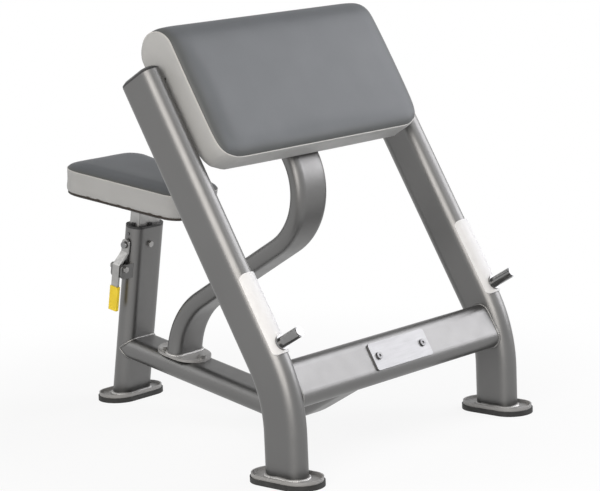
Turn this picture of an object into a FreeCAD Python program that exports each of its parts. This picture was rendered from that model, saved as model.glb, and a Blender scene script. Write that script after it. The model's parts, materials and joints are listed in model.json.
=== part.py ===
import FreeCAD, Part
import math
import os
import Sketcher
from FreeCAD import Vector

# Preacher curl bench: two bent legs and a post carry a sloping arm pad and a seat that slides on the post.
# Millimetres, +Z up, the bar rests face -Y and the seat is towards +Y.

SIZES = {
    "tube_long": 100,
    "tube_short": 50,
    "tube_wall": 3,
    "weld_gap": 0.1,
    "leg_spacing": 700,
    "front_foot_y": -399.3,
    "base_length": 806,
    "slope_lean": 30,
    "bend_height": 180,
    "leg_bend_radius": 300,
    "leg_slope_length": 716,
    "base_tilt": 10.4,
    "beam_level": 128,
    "beam_bend_radius": 180,
    "crossbar_rise": 16,
    "foot_long": 172,
    "foot_short": 97,
    "foot_height": 12,
    "foot_skirt": 11,
    "foot_lip": 2.5,
    "foot_rim": 6.5,
    "foot_rim_wall": 3,
    "foot_plate_thickness": 6,
    "cap_height": 12,
    "cap_plug_depth": 20,
    "brace_tube_long": 97,
    "brace_tube_short": 40,
    "brace_reach": 158.4,
    "brace_start": 14,
    "brace_lower_radius": 175,
    "brace_upper_radius": 147,
    "brace_diagonal": 30.4,
    "brace_set_back": 0.8,
    "brace_top": 610,
    "brace_plate_long": 130,
    "brace_plate_short": 102,
    "brace_plate_thickness": 6,
    "brace_bolt_front": 54,
    "brace_bolt_back": 34,
    "brace_bolt_aside": 34,
    "guard_bottom": 73,
    "guard_length": 178,
    "guard_thickness": 3.2,
    "guard_gap": 0.3,
    "guard_half_angle": 57,
    "guard_corner": 11,
    "rest_pin_rise": 94,
    "rest_pin_radius": 11.5,
    "rest_pin_length": 54,
    "rest_pin_tip": 1.5,
    "rest_stud_radius": 6,
    "rest_washer_radius": 16,
    "rest_washer_thickness": 5,
    "nameplate_long": 182,
    "nameplate_short": 60,
    "nameplate_thickness": 4,
    "nameplate_corner": 6,
    "nameplate_screw_spacing": 143,
    "screw_head_radius": 8,
    "screw_head_height": 3.5,
    "screw_radius": 3,
    "screw_socket_flats": 6,
    "pad_width": 644,
    "pad_bottom": 476,
    "pad_back": 27,
    "pad_front": 98,
    "pad_crown": 6,
    "pad_roll_rise": 746,
    "pad_roll_radius": 56,
    "pad_corner": 46,
    "pad_front_round": 22,
    "pad_back_round": 14,
    "pad_draw_in": 1.5,
    "pad_plate_width": 240,
    "pad_plate_height": 110,
    "pad_plate_thickness": 8,
    "pad_board_width": 612,
    "pad_board_height": 204,
    "board_thickness": 15,
    "pad_bolt_spacing_x": 190,
    "pad_bolt_spacing_z": 74,
    "bolt_radius": 4,
    "bolt_flats": 13,
    "bolt_head_height": 5.5,
    "bolt_clearance": 0.3,
    "large_bolt_radius": 5,
    "large_bolt_flats": 17,
    "large_bolt_head": 6.4,
    "large_washer_radius": 10.5,
    "large_washer_thickness": 2,
    "post_top": 418,
    "sleeve_length": 120,
    "sleeve_flange": 5,
    "sleeve_tab_wide": 9,
    "sleeve_tab_thick": 4,
    "sleeve_tab_height": 5,
    "slide_gap": 0.3,
    "seat_tube_wide": 70,
    "seat_tube_deep": 30,
    "seat_tube_corner": 4,
    "seat_tube_bottom": 165,
    "seat_plate_level": 469.4,
    "seat_tip": 0.9,
    "seat_plate_wide": 150,
    "seat_plate_deep": 110,
    "seat_plate_thickness": 6,
    "seat_bolt_spacing_x": 110,
    "seat_bolt_spacing_y": 72,
    "seat_rear": 170,
    "seat_front": -170,
    "seat_rear_half_width": 122,
    "seat_front_half_width": 84,
    "seat_corner": 50,
    "seat_border": 56,
    "seat_crown": 14,
    "seat_board_inset": 8,
    "seat_board_thickness": 12,
    "pin_level": 379,
    "pin_radius": 6,
    "pin_nose_gap": 0.5,
    "pin_stem_radius": 4,
    "hole_pitch": 25,
    "hole_count": 7,
    "pivot_level": 327,
    "pivot_reach": 70,
    "pivot_radius": 4,
    "strip_width": 21,
    "strip_thickness": 5,
    "strip_upper_reach": 56,
    "strip_lower_reach": 80.2,
    "strip_top": 393,
    "strip_upper_bend": 362,
    "strip_lower_bend": 334,
    "strip_bottom": 229,
    "hub_radius": 8,
    "hub_length": 11,
    "ear_thickness": 6,
    "ear_gap": 1,
    "ear_height": 34,
    "grip_length": 57,
    "grip_wall": 2.2,
    "spring_wire": 1.8,
    "spring_radius": 6,
    "spring_turns": 3,
    "spring_pitch": 2.35,
    "spring_leg": 18,
}


class Size:
    """A number together with the sheet expression that gives it."""

    def __init__(self, text, value):
        self.text = text
        self.value = float(value)

    def joined(self, sign, other, value):
        return Size("(%s %s %s)" % (self.text, sign, other.text), value)

    def __add__(self, other):
        other = as_size(other)
        return self.joined("+", other, self.value + other.value)

    def __sub__(self, other):
        other = as_size(other)
        return self.joined("-", other, self.value - other.value)

    def __mul__(self, other):
        other = as_size(other)
        return self.joined("*", other, self.value * other.value)

    def __truediv__(self, other):
        other = as_size(other)
        return self.joined("/", other, self.value / other.value)

    def __neg__(self):
        return Size("(0 - %s)" % self.text, -self.value)

    def __radd__(self, other):
        return as_size(other) + self

    def __rsub__(self, other):
        return as_size(other) - self

    def __rmul__(self, other):
        return as_size(other) * self


def as_size(number):
    if isinstance(number, Size):
        return number
    if number < 0:
        return Size("(0 - %r)" % -number, number)
    return Size("%r" % number, number)


def sine(angle):
    return Size("sin(%s * 1deg)" % angle.text, math.sin(math.radians(angle.value)))


def cosine(angle):
    return Size("cos(%s * 1deg)" % angle.text, math.cos(math.radians(angle.value)))


def root(number):
    return Size("sqrt(%s)" % number.text, math.sqrt(number.value))


def tangent(angle):
    return Size("tan(%s * 1deg)" % angle.text, math.tan(math.radians(angle.value)))


doc = FreeCAD.newDocument("preacher_curl_bench")
sheet = doc.addObject("Spreadsheet::Sheet", "Params")
for row, (word, number) in enumerate(SIZES.items(), start=1):
    sheet.set("A%d" % row, word)
    sheet.set("B%d" % row, str(number))
    sheet.setAlias("B%d" % row, word)
doc.recompute()


def cell(word):
    return Size("Params.%s" % word, SIZES[word])


ZERO = as_size(0)
TUBE_LONG = cell("tube_long")
TUBE_SHORT = cell("tube_short")
TUBE_WALL = cell("tube_wall")
WELD_GAP = cell("weld_gap")
FOOT_HEIGHT = cell("foot_height")
SLOPE_LEAN = cell("slope_lean")
BASE_TILT = cell("base_tilt")
FRONT_Y = cell("front_foot_y")
POST_Y = FRONT_Y + cell("base_length")
LEG_X = cell("leg_spacing") / 2

# Frames, each a point and a turn about X: the floor, the sloping upper frame, the tilted base with its post, and
# the seat, which is tipped back a little from the post.
FLOOR = (ZERO, ZERO, ZERO, ZERO)
SLOPE = (ZERO, FRONT_Y, cell("bend_height"), -SLOPE_LEAN)
BASE = (ZERO, POST_Y, ZERO, BASE_TILT)
SEAT = (ZERO, POST_Y - cell("seat_plate_level") * sine(BASE_TILT), cell("seat_plate_level") * cosine(BASE_TILT),
        BASE_TILT - cell("seat_tip"))

nodes = []


def bind(item, prop, size):
    """Ties a property to the sheet; a bare number needs no tie."""
    if not size.text[0].isdigit():
        item.setExpression(prop, size.text)


def new_body(label, frame):
    body = doc.addObject("PartDesign::Body", label)
    body.AllowCompound = True
    x, y, z, turn = frame
    spot = Vector(x.value, y.value, z.value)
    body.Placement = FreeCAD.Placement(spot, FreeCAD.Rotation(Vector(1, 0, 0), turn.value))
    bind(body, "Placement.Base.x", x)
    bind(body, "Placement.Base.y", y)
    bind(body, "Placement.Base.z", z)
    if turn.value:
        # A turn the other way is a positive angle about the opposite axis.
        axis = Vector(math.copysign(1, turn.value), 0, 0)
        body.Placement = FreeCAD.Placement(spot, FreeCAD.Rotation(axis, abs(turn.value)))
        bind(body, "Placement.Rotation.Angle", Size("abs(%s)" % turn.text, abs(turn.value)))
    body.Label = label
    nodes.append(body)
    return body


def new_sketch(body, plane, level=ZERO):
    """A sketch on XY, XZ or YZ, at a level along the plane's third axis."""
    sketch = body.newObject("Sketcher::SketchObject", body.Name + "_sketch")
    planes = [item for item in body.Origin.OriginFeatures if item.Role == plane + "_Plane"]
    sketch.AttachmentSupport = (planes[0], [""])
    sketch.MapMode = "FlatFace"
    along = -as_size(level) if plane == "XZ" else as_size(level)
    sketch.AttachmentOffset = FreeCAD.Placement(Vector(0, 0, along.value), FreeCAD.Rotation())
    bind(sketch, "AttachmentOffset.Base.z", along)
    return sketch


def fix(sketch, kind, where, size):
    """A driving constraint whose value comes from the sheet."""
    size = as_size(size)
    value = math.radians(size.value) if kind == "Angle" else size.value
    index = sketch.addConstraint(Sketcher.Constraint(kind, *where, value))
    text = size.text + " * 1deg" if kind == "Angle" else size.text
    sketch.setExpression("Constraints[%d]" % index, text)


def fix_point(sketch, shape, end, x, y):
    for kind, axis, size in (("DistanceX", -2, as_size(x)), ("DistanceY", -1, as_size(y))):
        if abs(size.value) < 1e-9:
            sketch.addConstraint(Sketcher.Constraint("PointOnObject", shape, end, axis))
        else:
            fix(sketch, kind, (-1, 1, shape, end), size)


def add_circle(sketch, x, y, radius):
    centre = Vector(as_size(x).value, as_size(y).value, 0)
    shape = sketch.addGeometry(Part.Circle(centre, Vector(0, 0, 1), as_size(radius).value), False)
    fix_point(sketch, shape, 3, x, y)
    fix(sketch, "Radius", (shape,), radius)


def add_belt(sketch, rounds):
    """A closed belt round circles (x, y, radius) given anticlockwise: an oblong, a rounded rectangle and so on."""
    rounds = [tuple(as_size(part) for part in one) for one in rounds]
    count = len(rounds)
    leave = []
    for i in range(count):
        x0, y0, r0 = (part.value for part in rounds[i])
        x1, y1, r1 = (part.value for part in rounds[(i + 1) % count])
        run = math.hypot(x1 - x0, y1 - y0)
        leave.append(math.atan2(y1 - y0, x1 - x0) - math.pi / 2 + math.asin((r0 - r1) / run) * -1)
    first = sketch.GeometryCount
    for i in range(count):
        x0, y0, r0 = (part.value for part in rounds[i])
        x1, y1, r1 = (part.value for part in rounds[(i + 1) % count])
        start = leave[i - 1]
        stop = leave[i]
        while stop < start:
            stop += 2 * math.pi
        circle = Part.Circle(Vector(x0, y0, 0), Vector(0, 0, 1), r0)
        sketch.addGeometry(Part.ArcOfCircle(circle, start, stop), False)
        side = Vector(math.cos(leave[i]), math.sin(leave[i]), 0)
        tip = Vector(x0, y0, 0) + side * r0
        tail = Vector(x1, y1, 0) + side * r1
        sketch.addGeometry(Part.LineSegment(tip, tail), False)
    for i in range(count):
        arc = first + 2 * i
        line = arc + 1
        following = first + 2 * ((i + 1) % count)
        sketch.addConstraint(Sketcher.Constraint("Tangent", arc, 2, line, 1))
        sketch.addConstraint(Sketcher.Constraint("Tangent", line, 2, following, 1))
    for i, (x, y, radius) in enumerate(rounds):
        fix_point(sketch, first + 2 * i, 3, x, y)
        fix(sketch, "Radius", (first + 2 * i,), radius)


def add_oblong(sketch, x, y, long, short, along):
    half = (long - short) / 2
    radius = short / 2
    if along == "x":
        add_belt(sketch, [(x - half, y, radius), (x + half, y, radius)])
    else:
        add_belt(sketch, [(x, y - half, radius), (x, y + half, radius)])


def add_rounded(sketch, x, y, width, height, corner):
    across = width / 2 - corner
    up = height / 2 - corner
    corners = [(-1, -1), (1, -1), (1, 1), (-1, 1)]
    add_belt(sketch, [(x + across * i, y + up * j, corner) for i, j in corners])


def add_outline(sketch, points):
    """A closed run of straight lines through points."""
    points = [(as_size(x), as_size(y)) for x, y in points]
    first = sketch.GeometryCount
    spots = [Vector(x.value, y.value, 0) for x, y in points]
    for start, stop in zip(spots, spots[1:] + spots[:1]):
        sketch.addGeometry(Part.LineSegment(start, stop), False)
    for i, (x, y) in enumerate(points):
        before = first + (i - 1) % len(points)
        sketch.addConstraint(Sketcher.Constraint("Coincident", before, 2, first + i, 1))
        fix_point(sketch, first + i, 1, x, y)


def add_hexagon(sketch, x, y, flats):
    reach = flats / (2 * math.cos(math.pi / 6))
    turns = [math.pi / 6 + i * math.pi / 3 for i in range(6)]
    add_outline(sketch, [(x + reach * math.cos(turn), y + reach * math.sin(turn)) for turn in turns])


def add_path(sketch, start, headings, lengths, radii, end=None):
    """Straight runs at given headings joined by tangent arcs. A run whose length is None is set by the end."""
    y, z = (as_size(part) for part in start)
    spot = Vector(y.value, z.value, 0)
    guesses = [as_size(one).value if one is not None else 100.0 for one in lengths]
    for index, heading in enumerate(headings):
        turn = math.radians(heading.value)
        way = Vector(math.cos(turn), math.sin(turn), 0)
        tip = spot + way * guesses[index]
        line = sketch.addGeometry(Part.LineSegment(spot, tip), False)
        if index == 0:
            fix_point(sketch, line, 1, y, z)
        else:
            sketch.addConstraint(Sketcher.Constraint("Tangent", line - 1, arc_end, line, 1))
        fix(sketch, "Angle", (line,), heading)
        if lengths[index] is not None:
            fix(sketch, "Distance", (line,), lengths[index])
        spot = tip
        if index == len(radii):
            break
        radius = as_size(radii[index])
        bend = headings[index + 1].value - heading.value
        left = Vector(-way.y, way.x, 0) * math.copysign(1, bend)
        centre = spot + left * radius.value
        circle = Part.Circle(centre, Vector(0, 0, 1), radius.value)
        begin = math.atan2(-left.y, -left.x)
        finish = begin + math.radians(bend)
        sketch.addGeometry(Part.ArcOfCircle(circle, min(begin, finish), max(begin, finish)), False)
        arc_start, arc_end = (1, 2) if bend > 0 else (2, 1)
        sketch.addConstraint(Sketcher.Constraint("Tangent", line, 2, line + 1, arc_start))
        fix(sketch, "Radius", (line + 1,), radius)
        spot = centre + Vector(math.cos(finish), math.sin(finish), 0) * radius.value
    if end is not None:
        fix_point(sketch, sketch.GeometryCount - 1, 2, *end)


def pad(body, sketch, length, away=1):
    """Material from the sketch along its third axis, or against it when away is -1."""
    feature = body.newObject("PartDesign::Pad", body.Name + "_pad")
    feature.Profile = sketch
    length = as_size(length)
    feature.Length = length.value
    bind(feature, "Length", length)
    towards_minus_y = sketch.AttachmentSupport[0][0].Role == "XZ_Plane"
    feature.Reversed = (away < 0) != towards_minus_y
    return feature


def pocket(body, sketch, depth, away=1):
    feature = body.newObject("PartDesign::Pocket", body.Name + "_pocket")
    feature.Profile = sketch
    depth = as_size(depth)
    feature.Length = depth.value
    bind(feature, "Length", depth)
    towards_minus_y = sketch.AttachmentSupport[0][0].Role == "XZ_Plane"
    feature.Reversed = (away > 0) != towards_minus_y
    return feature


def pipe(body, profile, path):
    feature = body.newObject("PartDesign::AdditivePipe", body.Name + "_pipe")
    feature.Profile = profile
    feature.Spine = (path, ["Edge%d" % (i + 1) for i in range(path.GeometryCount)])
    return feature


def loft(body, sections):
    feature = body.newObject("PartDesign::AdditiveLoft", body.Name + "_loft")
    feature.Profile = sections[0]
    feature.Sections = sections[1:]
    feature.Ruled = True
    return feature


def add_tube_section(sketch, x, y, along, long=TUBE_LONG, short=TUBE_SHORT):
    add_oblong(sketch, x, y, long, short, along)
    add_oblong(sketch, x, y, long - TUBE_WALL * 2, short - TUBE_WALL * 2, along)


def slope_to_floor(back, rise):
    """A point of the sloping frame, given by its y and z there, as floor y and z."""
    y = FRONT_Y + back * cosine(SLOPE_LEAN) + rise * sine(SLOPE_LEAN)
    z = cell("bend_height") - back * sine(SLOPE_LEAN) + rise * cosine(SLOPE_LEAN)
    return y, z


def slope_to_base(back, rise):
    """The same point in the tilted base frame."""
    y, z = slope_to_floor(back, rise)
    away = y - POST_Y
    return away * cosine(BASE_TILT) + z * sine(BASE_TILT), z * cosine(BASE_TILT) - away * sine(BASE_TILT)


SIDES = {"left": -1, "right": 1}


# Legs: a straight slope, one bend and a short upright stretch down to the foot plate.
def make_leg(name, side):
    body = new_body(name + "_leg", (LEG_X * side, FRONT_Y, cell("bend_height"), -SLOPE_LEAN))
    profile = new_sketch(body, "XY", cell("leg_slope_length"))
    add_tube_section(profile, ZERO, ZERO, "y")
    tangent_length = cell("leg_bend_radius") * tangent(SLOPE_LEAN / 2)
    path = new_sketch(body, "YZ")
    upper = cell("leg_slope_length") - tangent_length
    lower = cell("bend_height") - FOOT_HEIGHT - tangent_length
    down = as_size(-90)
    add_path(path, (ZERO, cell("leg_slope_length")), [down, down + SLOPE_LEAN], [upper, lower],
             [cell("leg_bend_radius")])
    pipe(body, profile, path)
    hole = new_sketch(body, "XZ", -TUBE_LONG / 4)
    add_circle(hole, ZERO, cell("rest_pin_rise"), cell("rest_stud_radius") + WELD_GAP)
    pocket(body, hole, TUBE_LONG / 2, -1)


def make_leg_cap(name, side):
    body = new_body(name + "_leg_cap", (LEG_X * side, FRONT_Y, cell("bend_height"), -SLOPE_LEAN))
    top = cell("leg_slope_length") + WELD_GAP
    plug = new_sketch(body, "XY", top)
    inset = (TUBE_WALL + WELD_GAP) * 2
    add_oblong(plug, ZERO, ZERO, TUBE_LONG - inset, TUBE_SHORT - inset, "y")
    pad(body, plug, cell("cap_plug_depth"), -1)
    sections = []
    for rise, trim in ((0, 0), (0.35, 1), (0.75, 9), (1, 24)):
        ring = new_sketch(body, "XY", top + cell("cap_height") * rise)
        add_oblong(ring, ZERO, ZERO, TUBE_LONG - 2 * trim, TUBE_SHORT - 1.6 * trim, "y")
        sections.append(ring)
    loft(body, sections)


# Front feet stand along Y and the rear foot along X: a steel dish with a raised rim, set in a low rubber boot.
def make_foot(name, x, y, along):
    boot = new_body(name + "_rubber_foot", (x, y, ZERO, ZERO))
    outer = new_sketch(boot, "XY")
    add_oblong(outer, ZERO, ZERO, cell("foot_long"), cell("foot_short"), along)
    pad(boot, outer, cell("foot_skirt"))
    sole = FOOT_HEIGHT - cell("foot_plate_thickness")
    recess = new_sketch(boot, "XY", cell("foot_skirt"))
    lip = cell("foot_lip") * 2
    add_oblong(recess, ZERO, ZERO, cell("foot_long") - lip, cell("foot_short") - lip, along)
    pocket(boot, recess, cell("foot_skirt") - sole, -1)
    plate = new_body(name + "_foot_plate", (x, y, ZERO, ZERO))
    shape = new_sketch(plate, "XY", sole)
    trim = lip + WELD_GAP * 2
    add_oblong(shape, ZERO, ZERO, cell("foot_long") - trim, cell("foot_short") - trim, along)
    pad(plate, shape, cell("foot_plate_thickness") + cell("foot_rim"))
    dish = new_sketch(plate, "XY", FOOT_HEIGHT + cell("foot_rim"))
    inner = trim + cell("foot_rim_wall") * 2
    add_oblong(dish, ZERO, ZERO, cell("foot_long") - inner, cell("foot_short") - inner, along)
    pocket(plate, dish, cell("foot_rim"), -1)


def make_crossbar():
    body = new_body("crossbar", SLOPE)
    profile = new_sketch(body, "YZ", -(LEG_X - TUBE_SHORT / 2 - WELD_GAP))
    add_tube_section(profile, ZERO, cell("crossbar_rise"), "y")
    pad(body, profile, cell("leg_spacing") - TUBE_SHORT - WELD_GAP * 2)
    holes = new_sketch(body, "XZ")
    for side in (-1, 1):
        across = cell("nameplate_screw_spacing") / 2 * side
        add_circle(holes, across, cell("crossbar_rise"), cell("screw_radius") + WELD_GAP)
    pocket(body, holes, TUBE_SHORT, -1)


def brace_bolt_spots():
    """One bolt in front of the brace and two behind it."""
    middle = -cell("brace_reach")
    aside = cell("brace_bolt_aside")
    back = middle + cell("brace_bolt_back")
    return [(ZERO, middle - cell("brace_bolt_front")), (-aside, back), (aside, back)]


# Base beam: lies flat, falls towards the front, then bends up square to the crossbar's back.
def make_beam():
    body = new_body("base_beam", BASE)
    profile = new_sketch(body, "XZ")
    add_tube_section(profile, ZERO, cell("beam_level"), "x")
    bend = SLOPE_LEAN + BASE_TILT
    bar_y, bar_z = slope_to_base(ZERO, cell("crossbar_rise"))
    rise = (bar_z - cell("beam_level")) / sine(bend)
    tangent_length = cell("beam_bend_radius") * tangent(bend / 2)
    level_run = -(bar_y + rise * cosine(bend)) - tangent_length
    rising_run = rise - tangent_length - TUBE_SHORT / 2 - WELD_GAP
    path = new_sketch(body, "YZ")
    add_path(path, (ZERO, cell("beam_level")), [as_size(180), 180 - bend], [level_run, rising_run],
             [cell("beam_bend_radius")])
    pipe(body, profile, path)
    cope = new_sketch(body, "XY", cell("beam_level") - TUBE_SHORT)
    add_oblong(cope, ZERO, ZERO, TUBE_LONG + WELD_GAP * 2, TUBE_SHORT + WELD_GAP * 2, "x")
    pocket(body, cope, TUBE_LONG)
    holes = new_sketch(body, "XY", cell("beam_level"))
    for across, away in brace_bolt_spots():
        add_circle(holes, across, away, cell("large_bolt_radius") + WELD_GAP)
    pocket(body, holes, TUBE_SHORT)


def make_post():
    body = new_body("post_tube", BASE)
    nodes.remove(body)
    profile = new_sketch(body, "XY", -TUBE_SHORT / 2)
    add_tube_section(profile, ZERO, ZERO, "x")
    pad(body, profile, cell("post_top") + TUBE_SHORT / 2)
    bush_hole = new_sketch(body, "YZ")
    add_circle(bush_hole, ZERO, cell("pin_level"), cell("pin_radius") + BUSH_WALL + WELD_GAP)
    add_circle(bush_hole, ZERO, cell("post_top") - SLEEVE_SCREW_DROP, SLEEVE_SCREW_RADIUS + WELD_GAP)
    pocket(body, bush_hole, TUBE_LONG, -1)
    bolt_hole = new_sketch(body, "XZ")
    add_circle(bolt_hole, SLEEVE_BOLT_X, SLEEVE_BOLT_Z, cell("bolt_radius") + WELD_GAP)
    pocket(body, bolt_hole, TUBE_SHORT, -1)
    # The tilted tube is cut level where it meets the foot plate.
    ground = doc.addObject("Part::Box", "ground_cut")
    ground.Placement.Base = Vector(-TUBE_LONG.value, POST_Y.value - TUBE_LONG.value, 0)
    bind(ground, "Placement.Base.x", -TUBE_LONG)
    bind(ground, "Placement.Base.y", POST_Y - TUBE_LONG)
    bind(ground, "Placement.Base.z", FOOT_HEIGHT - TUBE_LONG)
    bind(ground, "Length", TUBE_LONG * 2)
    bind(ground, "Width", TUBE_LONG * 2)
    bind(ground, "Height", TUBE_LONG)
    post = doc.addObject("Part::Cut", "rear_post")
    post.Base = body
    post.Tool = ground
    post.Label = "rear_post"
    nodes.append(post)


# Pad brace: rises from its plate on the beam, leans forward, then turns up and back along the pad.
def make_brace():
    plate = new_body("brace_plate", BASE)
    level = cell("beam_level") + TUBE_SHORT / 2 + WELD_GAP
    shape = new_sketch(plate, "XY", level)
    add_oblong(shape, ZERO, -cell("brace_reach"), cell("brace_plate_long"), cell("brace_plate_short"), "y")
    for across, away in brace_bolt_spots():
        add_circle(shape, across, away, cell("large_bolt_radius") + WELD_GAP)
    pad(plate, shape, cell("brace_plate_thickness"))
    body = new_body("pad_brace", BASE)
    foot = level + cell("brace_plate_thickness") + WELD_GAP
    profile = new_sketch(body, "XY", foot)
    add_tube_section(profile, ZERO, -cell("brace_reach"), "x", cell("brace_tube_long"), cell("brace_tube_short"))
    path = new_sketch(body, "YZ")
    upright = as_size(90)
    diagonal = 180 - (cell("brace_diagonal") + BASE_TILT)
    along_slope = upright - SLOPE_LEAN - BASE_TILT
    tip = slope_to_base(cell("brace_set_back"), cell("brace_top"))
    add_path(path, (-cell("brace_reach"), foot), [upright, diagonal, along_slope],
             [cell("brace_start"), None, None],
             [cell("brace_lower_radius"), cell("brace_upper_radius")], end=tip)
    pipe(body, profile, path)
    bolts = new_body("brace_bolts", BASE)
    top = level + cell("brace_plate_thickness") + WELD_GAP
    washer = new_sketch(bolts, "XY", top)
    head = new_sketch(bolts, "XY", top)
    shank = new_sketch(bolts, "XY", top)
    for across, away in brace_bolt_spots():
        add_circle(washer, across, away, cell("large_washer_radius"))
        add_hexagon(head, across, away, cell("large_bolt_flats"))
        add_circle(shank, across, away, cell("large_bolt_radius"))
    pad(bolts, washer, cell("large_washer_thickness"))
    pad(bolts, head, cell("large_washer_thickness") + cell("large_bolt_head"))
    pad(bolts, shank, cell("brace_plate_thickness") + TUBE_SHORT / 2, -1)


def round_corner(body, plane, level, x, z, side, up, radius, depth):
    """Cuts the sharp corner at (x, z) away to a radius; side and up are the signs that point out of the part."""
    corner = new_sketch(body, plane, level)
    out_x = x + radius * side
    out_z = z + radius * up
    bulge = radius * (math.sqrt(0.5) - 1) * side * up
    add_loop(corner, [(out_x, out_z), (out_x, z - radius * up), (x, z - radius * up), (x - radius * side, z),
                      (x - radius * side, out_z)], [None, None, bulge, None, None])
    pocket(body, corner, depth, -1)


# Bar rests: a curved guard on the front of each leg and a stud-fixed pin with a washer.
def make_bar_rest(name, side):
    x = LEG_X * side
    inner = TUBE_SHORT / 2 + cell("guard_gap")
    outer = inner + cell("guard_thickness")
    centre = -(TUBE_LONG - TUBE_SHORT) / 2
    guard = new_body(name + "_bar_guard", (x, FRONT_Y, cell("bend_height"), -SLOPE_LEAN))
    ring = new_sketch(guard, "XY", cell("guard_bottom"))
    add_circle(ring, ZERO, centre, outer)
    add_circle(ring, ZERO, centre, inner)
    pad(guard, ring, cell("guard_length"))
    # Only the front of the ring is kept.
    half = cell("guard_half_angle")
    rear = new_sketch(guard, "XY", cell("guard_bottom"))
    wide = outer * 2
    edge = centre - outer * cosine(half)
    add_outline(rear, [(-wide, edge), (wide, edge), (wide, centre + wide), (-wide, centre + wide)])
    pocket(guard, rear, cell("guard_length"))
    reach = outer * sine(half)
    top = cell("guard_bottom") + cell("guard_length")
    for hand in (-1, 1):
        round_corner(guard, "XZ", centre, reach * hand, cell("guard_bottom"), hand, -1, cell("guard_corner"), TUBE_LONG)
        round_corner(guard, "XZ", centre, reach * hand, top, hand, 1, cell("guard_corner"), TUBE_LONG)
    hole = new_sketch(guard, "XZ", centre)
    add_circle(hole, ZERO, cell("rest_pin_rise"), cell("rest_stud_radius") + WELD_GAP)
    pocket(guard, hole, TUBE_LONG, -1)
    face = centre - outer - WELD_GAP
    pin = new_body(name + "_rest_pin", (x, FRONT_Y, cell("bend_height"), -SLOPE_LEAN))
    shoulder = face - cell("rest_washer_thickness") - WELD_GAP
    rod = new_sketch(pin, "XZ", shoulder)
    add_circle(rod, ZERO, cell("rest_pin_rise"), cell("rest_pin_radius"))
    rod_length = cell("rest_pin_length") - cell("rest_pin_tip")
    pad(pin, rod, rod_length, -1)
    tip = new_sketch(pin, "XZ", shoulder - rod_length)
    add_circle(tip, ZERO, cell("rest_pin_rise"), cell("rest_pin_radius") - cell("rest_pin_tip"))
    pad(pin, tip, cell("rest_pin_tip"), -1)
    stud = new_sketch(pin, "XZ", shoulder)
    add_circle(stud, ZERO, cell("rest_pin_rise"), cell("rest_stud_radius"))
    pad(pin, stud, TUBE_SHORT / 2, 1)
    washer = new_body(name + "_rest_washer", (x, FRONT_Y, cell("bend_height"), -SLOPE_LEAN))
    disc = new_sketch(washer, "XZ", face)
    add_circle(disc, ZERO, cell("rest_pin_rise"), cell("rest_washer_radius"))
    add_circle(disc, ZERO, cell("rest_pin_rise"), cell("rest_stud_radius") + WELD_GAP)
    pad(washer, disc, cell("rest_washer_thickness"), -1)


def make_nameplate():
    rise = cell("crossbar_rise")
    face = -(TUBE_SHORT / 2 + WELD_GAP)
    plate = new_body("nameplate", SLOPE)
    shape = new_sketch(plate, "XZ", face)
    add_rounded(shape, ZERO, rise, cell("nameplate_long"), cell("nameplate_short"), cell("nameplate_corner"))
    screws = new_body("nameplate_screws", SLOPE)
    head_face = face - cell("nameplate_thickness") - WELD_GAP
    heads = new_sketch(screws, "XZ", head_face)
    shanks = new_sketch(screws, "XZ", head_face)
    sockets = new_sketch(screws, "XZ", head_face - cell("screw_head_height"))
    for side in (-1, 1):
        across = cell("nameplate_screw_spacing") / 2 * side
        add_circle(shape, across, rise, cell("screw_radius") + WELD_GAP)
        add_circle(heads, across, rise, cell("screw_head_radius"))
        add_circle(shanks, across, rise, cell("screw_radius"))
        add_hexagon(sockets, across, rise, cell("screw_socket_flats"))
    pad(plate, shape, cell("nameplate_thickness"), -1)
    pad(screws, heads, cell("screw_head_height"), -1)
    pad(screws, shanks, TUBE_WALL * 3, 1)
    pocket(screws, sockets, cell("screw_head_height") * 0.7, 1)


# Arm pad: plate on the brace, board, and a cushion with a rolled top and a crowned front.
def pad_bolt_spots():
    middle = cell("brace_top") - cell("pad_plate_height") / 2
    for i in (-1, 1):
        for j in (-1, 1):
            yield cell("pad_bolt_spacing_x") / 2 * i, middle + cell("pad_bolt_spacing_z") / 2 * j


def make_pad_mount():
    middle = cell("brace_top") - cell("pad_plate_height") / 2
    face = cell("brace_set_back") - cell("brace_tube_short") / 2 - WELD_GAP
    plate = new_body("pad_plate", SLOPE)
    shape = new_sketch(plate, "XZ", face)
    corner = TUBE_SHORT / 5
    add_rounded(shape, ZERO, middle, cell("pad_plate_width"), cell("pad_plate_height"), corner)
    board_face = face - cell("pad_plate_thickness") - WELD_GAP
    board = new_body("pad_board", SLOPE)
    sheet_shape = new_sketch(board, "XZ", board_face)
    board_middle = cell("pad_bottom") + BOARD_INSET + cell("pad_board_height") / 2
    add_rounded(sheet_shape, ZERO, board_middle, cell("pad_board_width"), cell("pad_board_height"), TUBE_SHORT)
    bolts = new_body("pad_bolts", SLOPE)
    heads = new_sketch(bolts, "XZ", face + WELD_GAP)
    shanks = new_sketch(bolts, "XZ", face + WELD_GAP)
    blind = new_sketch(board, "XZ", board_face)
    for x, z in pad_bolt_spots():
        add_circle(shape, x, z, cell("bolt_radius") + cell("bolt_clearance"))
        add_circle(blind, x, z, cell("bolt_radius") + WELD_GAP)
        add_hexagon(heads, x, z, cell("bolt_flats"))
        add_circle(shanks, x, z, cell("bolt_radius"))
    pad(plate, shape, cell("pad_plate_thickness"), -1)
    pad(board, sheet_shape, cell("board_thickness"), -1)
    pocket(board, blind, cell("board_thickness") * 0.8, -1)
    pad(bolts, heads, cell("bolt_head_height"), 1)
    pad(bolts, shanks, cell("pad_plate_thickness") + cell("board_thickness") * 0.7, -1)
    return board_face - cell("board_thickness")


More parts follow.
